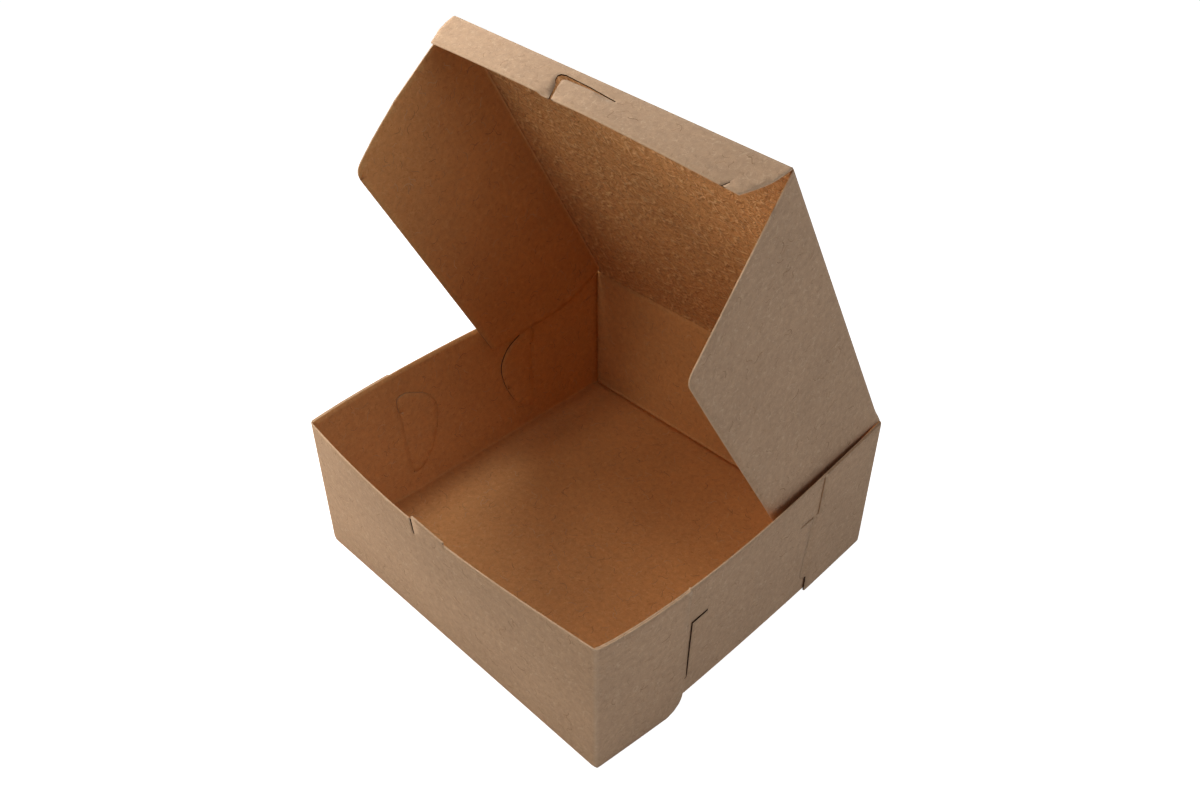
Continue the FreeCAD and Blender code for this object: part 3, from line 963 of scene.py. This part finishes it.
def slit_outline(end):
    """L-shaped slit: distance from the corner and height; the rear ones are tight."""
    foot = neck_low + 0.8
    wide = slit_half_width if end < 0 else rear_slit_half_width
    bend = slit_high[1]
    return [
        (slit_at(foot) - wide, foot), (slit_at(foot) + wide, foot),
        (slit_at(bend) + wide, bend - slit_leg_width),
        (slit_leg_end[0], slit_leg_end[1]),
        (slit_leg_end[0], slit_leg_end[1] + slit_leg_width),
        (slit_at(bend) + 1.0, bend + 0.4), (slit_at(bend) - wide, bend + 0.5),
    ]


def lid_card():
    """Lid panel, up to the curved boards of its flaps."""
    fold_line = flap_middle - fold_reach
    front = lid_length - card / 2 - fold_reach
    meet = 0.9
    side = [
        (flap_middle, -0.6), (flap_middle, flap_rear - 0.2), (fold_line, flap_rear),
        (fold_line, front - 0.2), (fold_line - 0.3, front),
    ]
    outline = side + [(-u, v) for u, v in side[::-1]]
    creases = [((-fold_line, meet), (fold_line, meet))]
    seam = loop_segments(outline)
    return Card(outline, (), creases, seam=seam).place(lid_place, shift=(500, 30))


def flap_card(sign, front_edge, radius, shift):
    """Side flap with the curved board of its fold."""
    rear = flap_rear
    front = front_edge[0][1]
    low = front_edge[-1]
    sag = (flap_rear_sag[0], rear + flap_rear_sag[1])
    corner = (low[0], rear + flap_rear_inset)
    outline = [(-fold_reach, rear - 0.1), (0.6, rear + 0.1), sag]
    outline += rounded_corner(sag, corner, low, flap_rear_radius)
    outline += rounded_corner(corner, low, front_edge[-2], radius)
    outline += front_edge[-2::-1] + [(-fold_reach, front)]
    creases = [((0, rear + 0.2), (0, front - 0.2))]
    # Painted shadow along the left flap's lower edge, for the gap between it and the wall
    shadow_end = (corner[0], corner[1] + flap_shadow_length)
    gap_shade_lines = [(corner, shadow_end, flap_shadow_tone)] if sign < 0 else []
    seam = [(outline[-1], outline[0])]
    made = Card(outline, (), creases, deep=gap_shade_lines, seam=seam)
    return made.place(flap_place(sign, flap_lean), flip=sign > 0, shift=shift)


def front_flap_card():
    """Front flap: curved ends, the slot that opens at its free edge, and a nick."""
    left_inset, right_inset = front_flap_insets
    width = front_flap_half
    deep = front_flap_depth
    middle = deep / 2
    left_end = curve_through([
        (-width + left_inset, deep), (-width + left_inset / 2 - front_flap_end_bulge, middle),
        (-width, 0.6),
    ])
    right_end = curve_through([
        (width, 0.6), (width - right_inset / 2 + front_flap_end_bulge, middle),
        (width - right_inset, deep),
    ])
    free = [(x - half, w) for x, w in slot_path + nick]
    outline = (
        [(-width + 0.7, -fold_reach), (width - 0.7, -fold_reach)]
        + right_end + free[::-1] + left_end
    )
    creases = [((-width + 1, 0), (width - 1, 0))]
    cuts = [(-x, w) for x, w in free]
    # Painted shade on the cut edges of the slot and the nick, for their dark gaps
    gap_shade_lines = [
        (a, b, 1.0) for a, b in loop_segments(cuts)[:-1] if min(a[1], b[1]) < deep - 0.05
    ]
    seam = [((width - 0.7, -fold_reach), (-width + 0.7, -fold_reach))]
    made = Card([(-x, w) for x, w in outline], (), creases, step=2.4, deep=gap_shade_lines, seam=seam)
    return made.place(front_flap_place, shift=(500, 200))


# The box

def make_board(name, cards, inside_finish):
    """One body's cards, with the board's thickness."""
    piece = card_mesh(name, cards)
    return run_tree(piece, board, {
        "Thickness": card * MM, "Outside": outside, "Inside": inside_finish, "Cut edge": edge,
    })


def add_fibres(piece, body, density, seed):
    """Loose fibres on both faces of a board, as a piece tied to the board's body."""
    made = run_tree(piece, fibres, {
        "Density": density, "Length": fibre_length, "Radius": fibre_radius, "Seed": seed,
        "Material": fibre,
    }, body + "_fibres")
    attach(made, body)
    return made


def lid_point(x, along_lid, drop):
    """Point on the lid in metres."""
    point = on_lid(np.array([float(x)]), np.array([float(along_lid)]), drop)
    return tuple(float(value[0]) * MM for value in point)


def build_box():
    """All pieces; the tray and the fibres of each board are tied to the body that they move with.
    """
    tray = make_board("tray_card", [front_card(), back_card(), base_card()], inner)
    lid = make_board("lid_card", [lid_card()], lid_inner_shaded)
    left = make_board("left_flap_card", [flap_card(-1, *left_flap, (700, 40))], inner)
    right = make_board("right_flap_card", [flap_card(1, *right_flap, (820, 60))], inner)
    front = make_board("front_flap_card", [front_flap_card()], inner)
    boards = (
        (tray, "tray", fibre_sparse, 11), (lid, "lid", fibre_dense, 12),
        (left, "left_flap", fibre_dense, 13), (right, "right_flap", fibre_sparse, 14),
        (front, "front_flap", fibre_sparse, 15),
    )
    for board_row in boards:
        add_fibres(*board_row)
    for piece, node, *_ in boards:
        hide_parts(node)
    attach(tray, "tray")
    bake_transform(lid)
    for piece, name, sign in ((left, "left_flap", -1), (right, "right_flap", 1)):
        start = lid_point(sign * flap_middle, 75, 0)
        start = (start[0] - sign * fold_reach * MM, start[1], start[2])
        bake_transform(piece)
    fold = lid_length - card / 2
    start = lid_point(0, fold - fold_reach, 0)
    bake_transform(front)


# Studio

def lamp(name, place, target, size, power, colour):
    """Round area lamp, turned to its target."""
    data = bpy.data.lights.new(name, "AREA")
    data.shape = "DISK"
    data.size = size
    data.energy = power
    data.color = colour
    made = bpy.data.objects.new(name, data)
    made.location = place
    made.rotation_euler = (Vector(target) - Vector(place)).to_track_quat("-Z", "Y").to_euler()
    bpy.context.scene.collection.objects.link(made)


def studio():
    """Pale floor, white surroundings and soft lamps."""
    scene = bpy.context.scene
    mesh = bpy.data.meshes.new("studio_floor")
    corners = [(-1, -1), (1, -1), (1, 1), (-1, 1)]
    mesh.from_pydata([(x * floor_reach, y * floor_reach, 0) for x, y in corners], [], [range(4)])
    floor = bpy.data.objects.new("studio_floor", mesh)
    scene.collection.objects.link(floor)
    material = bpy.data.materials.new("studio_floor")
    material.use_nodes = True
    tree = material.node_tree
    tree.nodes.remove(tree.nodes["Principled BSDF"])
    matt = add(tree, "ShaderNodeBsdfDiffuse",
               inputs={"Color": (*floor_tone, 1)}).outputs[0]
    glow = add(tree, "ShaderNodeEmission",
               inputs={"Color": (1, 1, 1, 1), "Strength": seen(tree, floor_glow)}).outputs[0]
    both = add(tree, "ShaderNodeAddShader", inputs={0: matt, 1: glow}).outputs[0]
    tree.links.new(both, tree.nodes["Material Output"].inputs["Surface"])
    mesh.materials.append(material)
    world = bpy.data.worlds.new("studio")
    scene.world = world
    world.use_nodes = True
    tree = world.node_tree
    background = tree.nodes["Background"]
    background.inputs["Color"].default_value = (*world_tone, 1)
    to_eye = seen(tree, 1.0)
    dim = math_node(tree, "MULTIPLY", math_node(tree, "SUBTRACT", 1.0, to_eye), world_light)
    tree.links.new(math_node(tree, "ADD", dim, to_eye), background.inputs["Strength"])
    for name, place, target, size, power, colour in lamps:
        lamp(name, place, target, size, power, colour)


def seen(tree, strength):
    """The strength for rays seen directly, in a gloss or through glass, else 0."""
    path = add(tree, "ShaderNodeLightPath")
    rays = math_node(tree, "ADD", path.outputs["Is Camera Ray"], path.outputs["Is Glossy Ray"])
    rays = math_node(tree, "ADD", rays, path.outputs["Is Transmission Ray"], True)
    return math_node(tree, "MULTIPLY", rays, strength)


def camera():
    """Camera at the photograph's place, above the tray's front right corner."""
    data = bpy.data.cameras.new("camera")
    data.lens = camera_lens
    data.sensor_width = camera_sensor
    made = bpy.data.objects.new("camera", data)
    made.location = camera_place
    turn = math.radians(camera_turn)
    down = math.radians(camera_down)
    ahead = Vector((
        math.sin(turn) * math.cos(down), math.cos(turn) * math.cos(down), -math.sin(down)
    ))
    made.rotation_euler = ahead.to_track_quat("-Z", "Y").to_euler()
    bpy.context.scene.collection.objects.link(made)
    bpy.context.scene.camera = made


outside = kraft_face("kraft_outside", outside_tones, contrast=0.75, relief_and_painted_emboss=0.06, wear=1.0)
# Inside faces: painted shade in their deeper orange tones
inner = kraft_face("kraft_inside_shaded", inside_shaded_tones, contrast=0.7, relief_and_painted_emboss=0.10, wear=0.2)
lid_inner_shaded = kraft_face("kraft_lid_inside_shaded", lid_inside_shaded_tones, contrast=1.0, relief_and_painted_emboss=0.8, wear=0.2)
edge = cut_edge()
fibre = fibre_finish()
board = board_tree()
fibres = fibre_tree()

build_box()
studio()
camera()
bpy.context.scene.view_settings.view_transform = "Standard"
